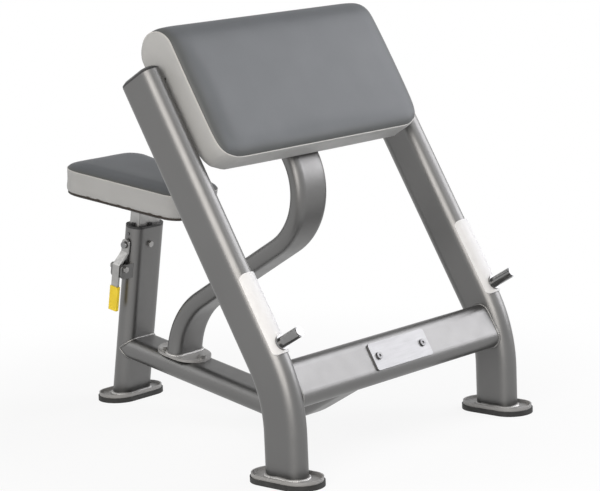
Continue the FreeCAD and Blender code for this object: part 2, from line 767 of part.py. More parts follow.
def add_loop(sketch, points, bulges):
    """A closed loop through points; each bulge is the rise of the arc to the next point, or None for a line."""
    points = [(as_size(x), as_size(y)) for x, y in points]
    count = len(points)
    for i, bulge in enumerate(bulges):
        x0, y0 = points[i]
        x1, y1 = points[(i + 1) % count]
        start = Vector(x0.value, y0.value, 0)
        stop = Vector(x1.value, y1.value, 0)
        if bulge is None:
            sketch.addGeometry(Part.LineSegment(start, stop), False)
            continue
        run = stop - start
        side = Vector(-run.y, run.x, 0).normalize()
        sketch.addGeometry(Part.Arc(start, (start + stop) / 2 + side * as_size(bulge).value, stop), False)
    for i, bulge in enumerate(bulges):
        follow = (i + 1) % count
        swapped = [is_reversed(sketch, index, points, count) for index in (i, follow)]
        here = 1 if swapped[0] else 2
        there = 2 if swapped[1] else 1
        sketch.addConstraint(Sketcher.Constraint("Coincident", i, here, follow, there))
        fix_point(sketch, i, 3 - here, *points[i])
        if bulge is not None:
            x0, y0 = points[i]
            x1, y1 = points[follow]
            bulge = as_size(bulge)
            chord = (x1 - x0) * (x1 - x0) + (y1 - y0) * (y1 - y0)
            reach = (chord / 4 + bulge * bulge) / (2 * Size("abs(%s)" % bulge.text, abs(bulge.value)))
            fix(sketch, "Radius", (i,), reach)


def is_reversed(sketch, index, points, count):
    """Whether a sketch edge was stored from its last point to its first."""
    x, y = points[index]
    return (sketch.getPoint(index, 1) - Vector(x.value, y.value, 0)).Length > 1e-6


def add_pad_section(sketch, shrink, lift, crown):
    """The pad's side profile, drawn in by shrink, with its lower edge lifted and its front bulged by crown."""
    front = -(cell("pad_front") - shrink)
    back = -cell("pad_back")
    bottom = cell("pad_bottom") + lift + shrink * 0.5
    roll_y = -(cell("pad_front") - cell("pad_roll_radius")) + shrink * 0.45
    roll_z = cell("pad_roll_rise")
    roll = cell("pad_roll_radius") - shrink * 0.55
    front_round = cell("pad_front_round")
    back_round = cell("pad_back_round")
    across = back - roll_y
    waist = root(roll * roll - across * across)
    quarter = 1 - math.sqrt(0.5)
    under = roll - root((across + roll) * roll / 2)
    points = [
        (front, bottom + front_round),
        (front + front_round, bottom),
        (back - back_round, bottom),
        (back, bottom + back_round),
        (back, roll_z - waist),
        (roll_y + roll, roll_z),
        (roll_y, roll_z + roll),
        (roll_y - roll, roll_z),
    ]
    bulges = [-front_round * quarter, cell("pad_draw_in"), -back_round * quarter, None,
              -under, -roll * quarter, -roll * quarter, -crown]
    add_loop(sketch, points, bulges)


def make_arm_pad(board_front):
    body = new_body("arm_pad", SLOPE)
    half = cell("pad_width") / 2
    corner = cell("pad_corner")
    sections = []
    # Each station is a share of the corner radius in from the end, and how far the profile is drawn in there.
    stations = [(0.0, 12.0), (0.05, 8.5), (0.15, 5.0), (0.35, 2.0), (1.0, 0.0)]
    spots = [(-1, share, shrink) for share, shrink in stations] + [(0, 1.0, 0.0)]
    spots += [(1, share, shrink) for share, shrink in reversed(stations)]
    for side, share, shrink in spots:
        x = (half - corner * share) * side
        sketch = new_sketch(body, "YZ", x)
        lift = corner * (1 - math.sqrt(1 - (1 - share) ** 2))
        crown = cell("pad_crown") * (1 - (x.value / half.value) ** 2) + 2
        add_pad_section(sketch, as_size(shrink), lift, crown)
        sections.append(sketch)
    loft(body, sections)
    recess = new_sketch(body, "XZ", board_front - cell("slide_gap"))
    board_middle = cell("pad_bottom") + BOARD_INSET + cell("pad_board_height") / 2
    gap = cell("slide_gap") * 2
    add_rounded(recess, ZERO, board_middle, cell("pad_board_width") + gap, cell("pad_board_height") + gap,
                TUBE_SHORT + cell("slide_gap"))
    pocket(body, recess, cell("pad_back"), 1)


# Seat slide: a plastic sleeve in the post, held by one bolt and one small screw, and a bush for the lock pin.
def make_sleeve():
    top = cell("post_top") + WELD_GAP
    body = new_body("post_sleeve", BASE)
    trim = (TUBE_WALL + WELD_GAP) * 2
    liner = new_sketch(body, "XY", top)
    add_oblong(liner, ZERO, ZERO, TUBE_LONG - trim, TUBE_SHORT - trim, "x")
    pad(body, liner, cell("sleeve_length"), -1)
    flange = new_sketch(body, "XY", top)
    add_oblong(flange, ZERO, ZERO, TUBE_LONG, TUBE_SHORT, "x")
    pad(body, flange, cell("sleeve_flange"))
    slot = new_sketch(body, "XY", top + cell("sleeve_flange"))
    gap = cell("slide_gap")
    add_rounded(slot, ZERO, ZERO, cell("seat_tube_wide") + gap * 2, cell("seat_tube_deep") + gap * 2,
                cell("seat_tube_corner") + gap)
    pocket(body, slot, cell("sleeve_length") * 2, -1)
    tabs = new_sketch(body, "XY", top + cell("sleeve_flange"))
    for side in (-1, 1):
        half = cell("sleeve_tab_wide") / 2
        near_x = (cell("seat_tube_wide") / 2 + gap) * side
        far_x = near_x + cell("sleeve_tab_thick") * side
        add_outline(tabs, [(near_x, -half), (far_x, -half), (far_x, half), (near_x, half)])
        near_y = (cell("seat_tube_deep") / 2 + gap) * side
        far_y = near_y + cell("sleeve_tab_thick") * side
        add_outline(tabs, [(-half, near_y), (half, near_y), (half, far_y), (-half, far_y)])
    pad(body, tabs, cell("sleeve_tab_height"))
    pin_hole = new_sketch(body, "YZ")
    add_circle(pin_hole, ZERO, cell("pin_level"), cell("pin_radius") + gap)
    add_circle(pin_hole, ZERO, cell("post_top") - SLEEVE_SCREW_DROP, SLEEVE_SCREW_RADIUS + WELD_GAP)
    pocket(body, pin_hole, TUBE_LONG, -1)
    bolt_hole = new_sketch(body, "XZ")
    add_circle(bolt_hole, SLEEVE_BOLT_X, SLEEVE_BOLT_Z, cell("bolt_radius") + WELD_GAP)
    pocket(body, bolt_hole, TUBE_SHORT, -1)

    bolt = new_body("sleeve_bolt", BASE)
    face = -(TUBE_SHORT / 2 + WELD_GAP)
    head = new_sketch(bolt, "XZ", face)
    add_hexagon(head, SLEEVE_BOLT_X, SLEEVE_BOLT_Z, cell("bolt_flats"))
    pad(bolt, head, cell("bolt_head_height"), -1)
    shank = new_sketch(bolt, "XZ", face)
    add_circle(shank, SLEEVE_BOLT_X, SLEEVE_BOLT_Z, cell("bolt_radius"))
    pad(bolt, shank, TUBE_WALL * 2.5, 1)

    screw = new_body("sleeve_screw", BASE)
    side = -(TUBE_LONG / 2 + WELD_GAP)
    screw_level = cell("post_top") - SLEEVE_SCREW_DROP
    screw_head = new_sketch(screw, "YZ", side)
    add_circle(screw_head, ZERO, screw_level, SLEEVE_SCREW_RADIUS * 1.9)
    pad(screw, screw_head, SLEEVE_SCREW_RADIUS, -1)
    screw_shank = new_sketch(screw, "YZ", side)
    add_circle(screw_shank, ZERO, screw_level, SLEEVE_SCREW_RADIUS)
    pad(screw, screw_shank, TUBE_WALL * 2.5, 1)

    bush = new_body("pin_bush", BASE)
    ring = new_sketch(bush, "YZ", -(TUBE_LONG / 2 - TUBE_WALL + WELD_GAP * 2))
    add_circle(ring, ZERO, cell("pin_level"), cell("pin_radius") + BUSH_WALL)
    add_circle(ring, ZERO, cell("pin_level"), cell("pin_radius") + gap)
    pad(bush, ring, TUBE_WALL * 1.5, -1)


# Lock lever: two ears on the post, a pivot bolt with its nut, a cranked strip with a grip, and a torsion spring.
def make_lever():
    pivot_x = -cell("pivot_reach")
    pivot_z = cell("pivot_level")
    inner = cell("strip_width") / 2 + cell("ear_gap")
    outer = inner + cell("ear_thickness")
    bore = cell("pivot_radius") + WELD_GAP

    bracket = new_body("lever_bracket", BASE)
    tip = cell("ear_height") * 0.3
    root_round = cell("ear_height") * 0.15
    low = pivot_z + tip - cell("ear_height")
    for level in (-outer, inner):
        ear = new_sketch(bracket, "XZ", level)
        add_belt(ear, [
            (pivot_x, pivot_z, tip),
            (pivot_x, low + tip, tip),
            (-TUBE_LONG * 0.4, low + root_round, root_round),
            (-TUBE_LONG * 0.4, pivot_z + tip - root_round, root_round),
        ])
        add_circle(ear, pivot_x, pivot_z, bore)
        pad(bracket, ear, cell("ear_thickness"), 1)
    cope = new_sketch(bracket, "XY", pivot_z - cell("ear_height"))
    add_oblong(cope, ZERO, ZERO, TUBE_LONG + WELD_GAP * 2, TUBE_SHORT + WELD_GAP * 2, "x")
    pocket(bracket, cope, cell("ear_height") * 2)

    bolt = new_body("lever_pivot", BASE)
    face = outer + WELD_GAP
    head = new_sketch(bolt, "XZ", -face)
    add_hexagon(head, pivot_x, pivot_z, cell("bolt_flats"))
    pad(bolt, head, cell("bolt_head_height"), -1)
    shank = new_sketch(bolt, "XZ", -face)
    add_circle(shank, pivot_x, pivot_z, cell("pivot_radius"))
    pad(bolt, shank, face * 2 + cell("bolt_head_height") * 1.4, 1)

    nut = new_body("lever_pivot_nut", BASE)
    ring = new_sketch(nut, "XZ", face)
    add_hexagon(ring, pivot_x, pivot_z, cell("bolt_flats"))
    add_circle(ring, pivot_x, pivot_z, bore)
    pad(nut, ring, cell("bolt_head_height") * 1.2, 1)

    arm = new_body("lever_arm", BASE)
    half = cell("strip_thickness") / 2
    upper = -cell("strip_upper_reach")
    lower = -cell("strip_lower_reach")
    drop = cell("strip_upper_bend") - cell("strip_lower_bend")
    shift = upper - lower
    slant = root(drop * drop + shift * shift)
    mitre = half * (slant - drop) / shift
    strip = new_sketch(arm, "XZ", -cell("strip_width") / 2)
    add_outline(strip, [
        (upper + half, cell("strip_top")),
        (upper - half, cell("strip_top")),
        (upper - half, cell("strip_upper_bend") + mitre),
        (lower - half, cell("strip_lower_bend") + mitre),
        (lower - half, cell("strip_bottom")),
        (lower + half, cell("strip_bottom")),
        (lower + half, cell("strip_lower_bend") - mitre),
        (upper + half, cell("strip_upper_bend") - mitre),
    ])
    pad(arm, strip, cell("strip_width"), 1)
    hub = new_sketch(arm, "XZ", -cell("strip_width") / 2)
    add_belt(hub, [(lower, pivot_z, cell("hub_radius") * 0.7), (pivot_x, pivot_z, cell("hub_radius"))])
    pad(arm, hub, cell("hub_length"), 1)
    pivot_hole = new_sketch(arm, "XZ", -cell("strip_width") / 2)
    add_circle(pivot_hole, pivot_x, pivot_z, cell("pivot_radius") + cell("slide_gap"))
    pocket(arm, pivot_hole, cell("strip_width"), 1)
    trim = new_sketch(arm, "YZ", lower - half)
    outside = cell("strip_width")
    add_outline(trim, [(-outside, pivot_z - outside), (outside, pivot_z - outside),
                       (outside, pivot_z + outside), (-outside, pivot_z + outside)])
    pocket(arm, trim, outside, -1)
    for hand in (-1, 1):
        round_corner(arm, "YZ", upper + cell("strip_thickness"), cell("strip_width") / 2 * hand, cell("strip_top"),
                     hand, 1, cell("strip_width") / 2, cell("strip_thickness") * 2)
    slot = new_sketch(arm, "YZ", upper + cell("strip_thickness"))
    add_oblong(slot, ZERO, cell("pin_level"), SLOT_LENGTH, cell("pin_stem_radius") * 2 + 1, "y")
    pocket(arm, slot, cell("strip_thickness") * 2, -1)

    grip = new_body("lever_grip", BASE)
    wall = cell("grip_wall") + WELD_GAP
    end = cell("strip_bottom") - WELD_GAP
    outside_shape = new_sketch(grip, "XY", end - cell("grip_wall"))
    add_rounded(outside_shape, lower, ZERO, cell("strip_thickness") + wall * 2,
                cell("strip_width") + wall * 2, cell("grip_wall"))
    pad(grip, outside_shape, cell("grip_length"))
    inside = new_sketch(grip, "XY", end)
    add_rounded(inside, lower, ZERO, cell("strip_thickness") + WELD_GAP * 2,
                cell("strip_width") + WELD_GAP * 2, WELD_GAP)
    pocket(grip, inside, cell("grip_length"))

    # Lock pin: nose, then a thinner stem through the lever's slot, closed by a domed nut.
    nose_x = -(cell("seat_tube_wide") / 2 + cell("pin_nose_gap"))
    shoulder = upper + cell("strip_thickness") * 1.4
    pin = new_body("lock_pin", BASE)
    nose = new_sketch(pin, "YZ", nose_x)
    add_circle(nose, ZERO, cell("pin_level"), cell("pin_radius"))
    pad(pin, nose, nose_x - shoulder, -1)
    stem = new_sketch(pin, "YZ", shoulder)
    add_circle(stem, ZERO, cell("pin_level"), cell("pin_stem_radius"))
    pad(pin, stem, cell("strip_thickness") * 2.8, -1)
    cap = new_body("lock_pin_nut", BASE)
    cap_face = upper - cell("strip_thickness") * 0.92
    body_ring = new_sketch(cap, "YZ", cap_face)
    add_circle(body_ring, ZERO, cell("pin_level"), cell("pin_radius") * 1.3)
    pad(cap, body_ring, cell("strip_thickness") * 0.8, -1)
    bore_hole = new_sketch(cap, "YZ", cap_face)
    add_circle(bore_hole, ZERO, cell("pin_level"), cell("pin_stem_radius") + WELD_GAP)
    pocket(cap, bore_hole, cell("strip_thickness") * 0.6, -1)


def make_spring():
    """One unbroken tube: a leg up the lever strip, the coil round the pivot, and a leg towards the post."""
    mean = SIZES["spring_radius"]
    wire = SIZES["spring_wire"] / 2
    pitch = SIZES["spring_pitch"]
    start_y = SIZES["hub_length"] - SIZES["strip_width"] / 2 + wire + 0.35
    quarters = SIZES["spring_turns"] * 4 + 1

    def on_coil(turns):
        angle = math.pi - turns * 2 * math.pi
        return Vector(mean * math.cos(angle), start_y + pitch * turns, mean * math.sin(angle))

    edges = [Part.makeLine(on_coil(0) - Vector(0, 0, SIZES["spring_leg"]), on_coil(0))]
    for quarter in range(quarters):
        here, between, there = (on_coil((quarter + share) / 4) for share in (0, 0.5, 1))
        edges.append(Part.Arc(here, between, there).toShape())
    finish = on_coil(quarters / 4)
    edges.append(Part.makeLine(finish, finish + Vector(SIZES["spring_leg"], 0, 0)))
    spine = Part.Wire(edges)
    start = edges[0].Vertexes[0].Point
    ring = Part.Wire([Part.makeCircle(wire, start, Vector(0, 0, 1))])
    tube = spine.makePipeShell([ring], True, False, 0)
    print("spring least gap between curls", round(pitch - 2 * wire, 2))
    spring = doc.addObject("Part::Feature", "lever_spring")
    spring.Shape = tube
    spring.Label = "lever_spring"
    centre = Vector(-SIZES["pivot_reach"], 0, SIZES["pivot_level"])
    base = FreeCAD.Placement(Vector(0, POST_Y.value, 0), FreeCAD.Rotation(Vector(1, 0, 0), BASE_TILT.value))
    spring.Placement = base * FreeCAD.Placement(centre, FreeCAD.Rotation())
    nodes.append(spring)


# Seat: a tube with lock holes, a plate, a board and a cushion that narrows towards the front.
def add_seat_outline(sketch, inset):
    corner = cell("seat_corner")
    rear = cell("seat_rear") - corner
    front = cell("seat_front") + corner
    wide = cell("seat_rear_half_width") - corner
    narrow = cell("seat_front_half_width") - corner
    radius = corner - inset
    add_belt(sketch, [(-narrow, front, radius), (narrow, front, radius), (wide, rear, radius),
                      (-wide, rear, radius)])


def seat_bolt_spots():
    for i in (-1, 1):
        for j in (-1, 1):
            yield cell("seat_bolt_spacing_x") / 2 * i, cell("seat_bolt_spacing_y") / 2 * j


def make_seat():
    level = cell("seat_plate_level")
    wide = cell("seat_tube_wide")
    deep = cell("seat_tube_deep")
    corner = cell("seat_tube_corner")
    tube = new_body("seat_tube", BASE)
    section = new_sketch(tube, "XY", cell("seat_tube_bottom"))
    add_rounded(section, ZERO, ZERO, wide, deep, corner)
    add_rounded(section, ZERO, ZERO, wide - TUBE_WALL * 2, deep - TUBE_WALL * 2, corner - TUBE_WALL)
    wedge = deep / 2 * tangent(cell("seat_tip"))
    pad(tube, section, level - wedge - WELD_GAP - cell("seat_tube_bottom"))
    holes = new_sketch(tube, "YZ")
    for step in range(SIZES["hole_count"]):
        add_circle(holes, ZERO, cell("pin_level") + cell("hole_pitch") * (1 - step), cell("pin_radius") + 0.5)
    pocket(tube, holes, wide, -1)

    plate = new_body("seat_plate", SEAT)
    shape = new_sketch(plate, "XY")
    add_rounded(shape, ZERO, ZERO, cell("seat_plate_wide"), cell("seat_plate_deep"), corner * 3)
    board = new_body("seat_board", SEAT)
    board_level = cell("seat_plate_thickness") + WELD_GAP
    board_shape = new_sketch(board, "XY", board_level)
    add_seat_outline(board_shape, cell("seat_board_inset"))
    bolts = new_body("seat_bolts", SEAT)
    heads = new_sketch(bolts, "XY", -WELD_GAP)
    shanks = new_sketch(bolts, "XY", -WELD_GAP)
    blind = new_sketch(board, "XY", board_level)
    for x, y in seat_bolt_spots():
        add_circle(shape, x, y, cell("bolt_radius") + cell("bolt_clearance"))
        add_circle(blind, x, y, cell("bolt_radius") + WELD_GAP)
        add_hexagon(heads, x, y, cell("bolt_flats"))
        add_circle(shanks, x, y, cell("bolt_radius"))
    pad(plate, shape, cell("seat_plate_thickness"))
    pad(board, board_shape, cell("seat_board_thickness"))
    pocket(board, blind, cell("seat_board_thickness") * 0.8)
    pad(bolts, heads, cell("bolt_head_height"), -1)
    pad(bolts, shanks, cell("seat_plate_thickness") + cell("seat_board_thickness") * 0.7)

    cushion = new_body("seat_cushion", SEAT)
    bottom = board_level + cell("slide_gap")
    border = cell("seat_border")
    crown = cell("seat_crown")
    sections = []
    for low, high, inset in ((0, 0, 6), (0.09, 0, 1.2), (0.5, 0, 3), (0.91, 0, 1), (1, 0, 0),
                             (1, 0.45, 6), (1, 0.8, 18), (1, 1, 38)):
        ring = new_sketch(cushion, "XY", bottom + border * low + crown * high)
        add_seat_outline(ring, as_size(inset))
        sections.append(ring)
    loft(cushion, sections)
    recess = new_sketch(cushion, "XY", bottom)
    add_seat_outline(recess, cell("seat_board_inset") - cell("slide_gap"))
    pocket(cushion, recess, cell("seat_board_thickness"))


SLOT_LENGTH = as_size(17)
BOARD_INSET = as_size(12)
BUSH_WALL = as_size(4)
SLEEVE_SCREW_DROP = as_size(14)
SLEEVE_SCREW_RADIUS = as_size(2)
SLEEVE_BOLT_X = as_size(-4)
SLEEVE_BOLT_Z = cell("pin_level") + 1

for side_name, side_sign in SIDES.items():
    make_leg(side_name, side_sign)
    make_leg_cap(side_name, side_sign)
    make_foot(side_name, LEG_X * side_sign, FRONT_Y, "y")
    make_bar_rest(side_name, side_sign)
make_foot("rear", ZERO, POST_Y, "x")
make_crossbar()
make_nameplate()
make_beam()
make_post()
make_brace()
make_arm_pad(make_pad_mount())
make_sleeve()
make_lever()
make_spring()
make_seat()

doc.recompute()
faults = []
for item in doc.Objects:
    if "Invalid" in item.State or "Error" in item.State:
        faults.append((item.Name, item.State))
for node in nodes:
    if node.Shape.isNull() or not node.Shape.isValid():
        faults.append((node.Label, "bad shape"))
if faults:
    raise RuntimeError(str(faults))

os.makedirs("parts", exist_ok=True)
for node in nodes:
    box = node.Shape.optimalBoundingBox(False)
    print("%-20s %d solid %9.0f mm3  x %7.1f %7.1f  y %7.1f %7.1f  z %7.1f %7.1f" % (
        node.Label, len(node.Shape.Solids), node.Shape.Volume,
        box.XMin, box.XMax, box.YMin, box.YMax, box.ZMin, box.ZMax))
    node.Shape.exportStep("parts/%s.step" % node.Label)
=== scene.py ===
import json
import math

import bmesh
import bpy
from mathutils import Matrix, Vector
from mathutils.bvhtree import BVHTree


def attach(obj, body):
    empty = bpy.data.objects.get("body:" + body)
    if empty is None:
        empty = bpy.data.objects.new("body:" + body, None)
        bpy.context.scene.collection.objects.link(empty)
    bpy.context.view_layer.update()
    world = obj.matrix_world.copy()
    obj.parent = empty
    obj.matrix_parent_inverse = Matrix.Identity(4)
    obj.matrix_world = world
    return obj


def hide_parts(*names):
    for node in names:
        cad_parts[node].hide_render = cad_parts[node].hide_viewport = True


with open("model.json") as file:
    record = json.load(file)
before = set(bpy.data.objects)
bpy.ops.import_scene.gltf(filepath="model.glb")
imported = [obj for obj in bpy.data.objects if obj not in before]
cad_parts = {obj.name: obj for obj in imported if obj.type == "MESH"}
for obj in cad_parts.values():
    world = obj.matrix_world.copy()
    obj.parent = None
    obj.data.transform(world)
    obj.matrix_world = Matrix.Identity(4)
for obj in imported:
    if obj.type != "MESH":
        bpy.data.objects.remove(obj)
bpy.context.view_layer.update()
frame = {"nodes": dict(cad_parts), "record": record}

# Places repeated from the model, in metres. The slope frame holds the legs and the arm pad.
# The base frame holds the post, the beam, the brace and the seat.
FRONT_Y = -0.3993
POST_Y = 0.4067
BEND_Z = 0.180
LEG_X = 0.350
LEG_TILT = math.radians(-30)
BASE_TILT = math.radians(10.4)
SEAT_RISE = 0.4694
SEAT_TILT = math.radians(-0.9)
SLOPE = Matrix.Translation((0, FRONT_Y, BEND_Z)) @ Matrix.Rotation(LEG_TILT, 4, "X")
BASE = Matrix.Translation((0, POST_Y, 0)) @ Matrix.Rotation(BASE_TILT, 4, "X")
SEAT = BASE @ Matrix.Translation((0, 0, SEAT_RISE)) @ Matrix.Rotation(SEAT_TILT, 4, "X")
TUBE_LONG = 0.100
TUBE_SHORT = 0.050
FOOT_TOP = 0.012
CROSSBAR_RISE = 0.016
BEAM_LEVEL = 0.128
BRACE_LONG = 0.097
BRACE_SHORT = 0.040
BRACE_REACH = 0.1584
BRACE_FOOT = 0.1593

# The arm pad in the slope frame: z runs up the slope, and the front faces -y.
PAD_BOTTOM = 0.476
PAD_HALF = 0.322
PAD_CORNER = 0.046
PAD_BACK = 0.027
PAD_STAPLED = 0.009
PAD_WAIST = 0.692
PAD_CLEAR = 0.0022
ROLL_RISE = 0.746
# Its seam lies on this profile: a plane on the front, then a circle round the roll.
SEAM_FRONT = 0.086
SEAM_ROLL_OUT = 0.0366
SEAM_ROLL = 0.0494

# The seat cushion in the seat frame: z runs up through it.
SEAT_BOTTOM = 0.0064
SEAT_BOARD = 0.012
SEAT_STAPLED = 0.0025
SEAT_SOFT = 0.016
SEAT_SEAM = 0.0624
SEAT_MIDDLE_Y = 0.005

# Weld beads, cushion covers and piping.
FOOT_BEAD = 0.0054
BRACE_BEAD = 0.0044
TUBE_BEAD = 0.0030
BEAD_STEP = 0.0011
POOL_LENGTH = 0.0042
COVER_VOXEL = 0.0045
COVER_SHRINK = 0.003
PAD_SWELL = (-0.0008, 0.004)
SEAT_SWELL = (-0.0003, 0.003)
BASE_ROUNDS = 8
SWELL_ROUNDS = 24
CLOTH_FRAMES = 20
PAD_PIPING = 0.0015
SEAT_PIPING = 0.0014
# A dark tube along the seat's lower edge stands in for the shadow under its wall (painted shadow).
SHADOW_LINE_RADIUS = 0.0016
SHADOW_LINE_LEVEL = 0.008
SHADOW_LINE_INSET = 0.0032
SHADOW_LINE_DROP = 0.0072
PIPING_STEP = 0.003
SEAM_STEP = 0.006


# Materials

# Noise mostly stays within these spans, so they are stretched to the full range.
NOISE_SPAN = (0.35, 0.65)
SOFT_NOISE_SPAN = (0.3, 0.7)
FLAKE_SPAN = (0.36, 0.64)


class Graph:
    """Short ways to add nodes to a node tree and join them."""

    def __init__(self, tree):
        self.tree = tree

    def feed(self, socket, value):
        """Links the value where it is an output, and otherwise sets it on the socket."""
        if isinstance(value, bpy.types.NodeSocket):
            self.tree.links.new(value, socket)
        elif socket.type == "RGBA":
            socket.default_value = (*value, 1.0)
        else:
            socket.default_value = value

    def node(self, kind, **inputs):
        made = self.tree.nodes.new(kind)
        for key, value in inputs.items():
            self.feed(made.inputs[key.replace("_", " ")], value)
        return made

    def operate(self, kind, operation, values):
        made = self.tree.nodes.new(kind)
        made.operation = operation
        for socket, value in zip(made.inputs, values):
            self.feed(socket, value)
        return made

    def math(self, operation, *values):
        return self.operate("ShaderNodeMath", operation, values).outputs["Value"]

    def vector(self, operation, *values):
        return self.operate("ShaderNodeVectorMath", operation, values).outputs

    def blend(self, first, share, second):
        """A sum of two values, the first one weighted by share."""
        return self.math("ADD", self.math("MULTIPLY", first, share), self.math("MULTIPLY", second, 1 - share))

    def ramp(self, value, low, high, to_low, to_high, smooth=False):
        made = self.node("ShaderNodeMapRange", Value=value, From_Min=low, From_Max=high, To_Min=to_low,
                         To_Max=to_high)
        if smooth:
            made.interpolation_type = "SMOOTHSTEP"
        return made.outputs["Result"]

    def mix(self, factor, first, second):
        """A colour between two; the mix node's colour sockets are the seventh and eighth."""
        made = self.tree.nodes.new("ShaderNodeMix")
        made.data_type = "RGBA"
        self.feed(made.inputs[0], factor)
        self.feed(made.inputs[6], first)
        self.feed(made.inputs[7], second)
        return made.outputs[2]


class Surface(Graph):
    """A material with a principled shader, and textures laid out in object space."""

    def __init__(self, name):
        self.material = bpy.data.materials.new(name)
        self.material.use_nodes = True
        super().__init__(self.material.node_tree)
        self.shader = self.tree.nodes["Principled BSDF"]
        self.place = self.node("ShaderNodeTexCoord").outputs["Object"]

    def set(self, **values):
        for key, value in values.items():
            self.feed(self.shader.inputs[key.replace("_", " ")], value)

    def noise(self, scale, detail=3.0, rough=0.5, stretch=None):
        place = self.place
        if stretch:
            place = self.node("ShaderNodeMapping", Vector=place, Scale=stretch).outputs["Vector"]
        return self.node("ShaderNodeTexNoise", Vector=place, Scale=scale, Detail=detail,
                         Roughness=rough).outputs["Fac"]

    def bump(self, height, strength, distance):
        made = self.node("ShaderNodeBump", Height=height, Strength=strength, Distance=distance)
        self.set(Normal=made.outputs["Normal"])

    def along(self, origin, direction):
        """Distance of the shaded point from origin along direction."""
        shifted = self.vector("SUBTRACT", self.place, origin)["Vector"]
        return self.vector("DOT_PRODUCT", shifted, direction)["Value"]


def paint_material(name, dark, light, rough=(0.38, 0.42), metallic=1.0):
    """Metallic paint: fine flakes, a slow drift of tone and a faint orange peel."""
    made = Surface(name)
    flakes = made.noise(1400.0, 1.0)
    drift = made.noise(5.0, 3.0)
    tone = made.ramp(made.blend(flakes, 0.6, drift), *FLAKE_SPAN, 0.0, 1.0)
    gloss = made.ramp(made.noise(30.0, 4.0), *NOISE_SPAN, *rough)
    made.set(Base_Color=made.mix(tone, dark, light), Roughness=gloss, Metallic=metallic)
    made.bump(made.noise(420.0, 2.0), 0.05, 0.0006)
    return made.material


def plain_material(name, dark, light, rough, metallic=0.0, grain=300.0, bump=0.05, stretch=None, **extra):
    """Rubber, plastic or bare metal: two tones, mottled gloss and a fine surface."""
    made = Surface(name)
    tone = made.ramp(made.noise(35.0, 5.0, 0.6, stretch), *NOISE_SPAN, 0.0, 1.0)
    gloss = made.ramp(made.noise(90.0, 4.0, 0.6, stretch), *NOISE_SPAN, *rough)
    made.set(Base_Color=made.mix(tone, dark, light), Roughness=gloss, Metallic=metallic, **extra)
    made.bump(made.noise(grain, 3.0, 0.55, stretch), bump, 0.0005)
    return made.material


def shaded_plywood_material():
    """Plywood darkened as painted shadow where its edge shows under the cushions: slow rings with fine fibres
    along x.
    """
    made = Surface("plywood")
    rings = made.node("ShaderNodeTexWave", Vector=made.place, Scale=9.0, Distortion=6.0, Detail=3.0)
    fibres = made.noise(60.0, 6.0, 0.6, (1.0, 14.0, 14.0))
    tone = made.blend(rings.outputs["Fac"], 0.4, fibres)
    made.set(Base_Color=made.mix(tone, (0.035, 0.028, 0.022), (0.07, 0.055, 0.042)))
    made.set(Roughness=made.ramp(fibres, *SOFT_NOISE_SPAN, 0.55, 0.75))
    made.bump(fibres, 0.15, 0.0006)
    return made.material


def vinyl_finish(made, colour):
    """Upholstery vinyl: leather cells, fine pores and a soft sheen."""
    cells = made.node("ShaderNodeTexVoronoi", Vector=made.place, Scale=620.0).outputs["Distance"]
    pores = made.noise(1500.0, 2.0)
    gloss = made.ramp(made.noise(9.0, 2.0), *SOFT_NOISE_SPAN, 0.50, 0.54)
    made.set(Base_Color=colour, Roughness=gloss, Specular_IOR_Level=0.45)
    made.bump(made.blend(cells, 0.7, pores), 0.16, 0.0006)


DARK_VINYL = ((0.084, 0.091, 0.098), (0.091, 0.098, 0.106))
# Painted shade: a darker tone that the dark vinyl takes towards its edges, where the crowned cover turns away
# from the light.
EDGE_SHADE_VINYL = (0.058, 0.060, 0.055)
LIGHT_VINYL = ((0.355, 0.358, 0.354), (0.38, 0.383, 0.379))
SEAM_BLUR = 0.0004
# Widths over which the painted edge shade fades out: on the pad from its ends and bottom, on the seat from
# the seam.
PAD_EDGE_SHADE = 0.034
SEAT_EDGE_SHADE = 0.010


def two_vinyls(made, past, edge_shading):
    """Dark where past is above nought, darker still with painted shade where the edge shade factor is small,
    and light below.
    """
    drift = made.ramp(made.noise(12.0, 3.0), *SOFT_NOISE_SPAN, 0.0, 1.0)
    dark = made.mix(edge_shading, EDGE_SHADE_VINYL, made.mix(drift, *DARK_VINYL))
    light = made.mix(drift, *LIGHT_VINYL)
    vinyl_finish(made, made.mix(made.ramp(past, -SEAM_BLUR, SEAM_BLUR, 0.0, 1.0), light, dark))


def pad_vinyl():
    """Dark front and roll outside the seam's profile, light border and ends inside it."""
    made = Surface("pad_vinyl")
    turn = SLOPE.to_3x3()
    out = made.along(SLOPE.translation, turn @ Vector((0, -1, 0)))
    rise = made.along(SLOPE.translation, turn @ Vector((0, 0, 1)))
    front = made.math("SUBTRACT", out, SEAM_FRONT)
    aside = made.math("SUBTRACT", out, SEAM_ROLL_OUT)
    above = made.math("SUBTRACT", rise, ROLL_RISE)
    reach = made.math("ADD", made.math("MULTIPLY", aside, aside), made.math("MULTIPLY", above, above))
    round_roll = made.math("SUBTRACT", made.math("SQRT", reach), SEAM_ROLL)
    back = made.math("LESS_THAN", aside, 0.0)
    behind = made.math("MULTIPLY", back, made.math("GREATER_THAN", rise, PAD_WAIST))
    zone = made.math("MAXIMUM", made.math("GREATER_THAN", above, 0.0), behind)
    step = made.math("MULTIPLY", zone, made.math("SUBTRACT", round_roll, front))
    across = made.math("ABSOLUTE", made.along(SLOPE.translation, Vector((1, 0, 0))))
    from_end = made.math("SUBTRACT", PAD_HALF, across)
    from_edge = made.math("MINIMUM", from_end, made.math("SUBTRACT", rise, PAD_BOTTOM))
    # Painted shade: the dark front darkens towards the pad's ends and bottom edge.
    edge_shading = made.ramp(from_edge, 0.0, PAD_EDGE_SHADE, 0.35, 1.0, True)
    two_vinyls(made, made.math("ADD", front, step), edge_shading)
    return made.material


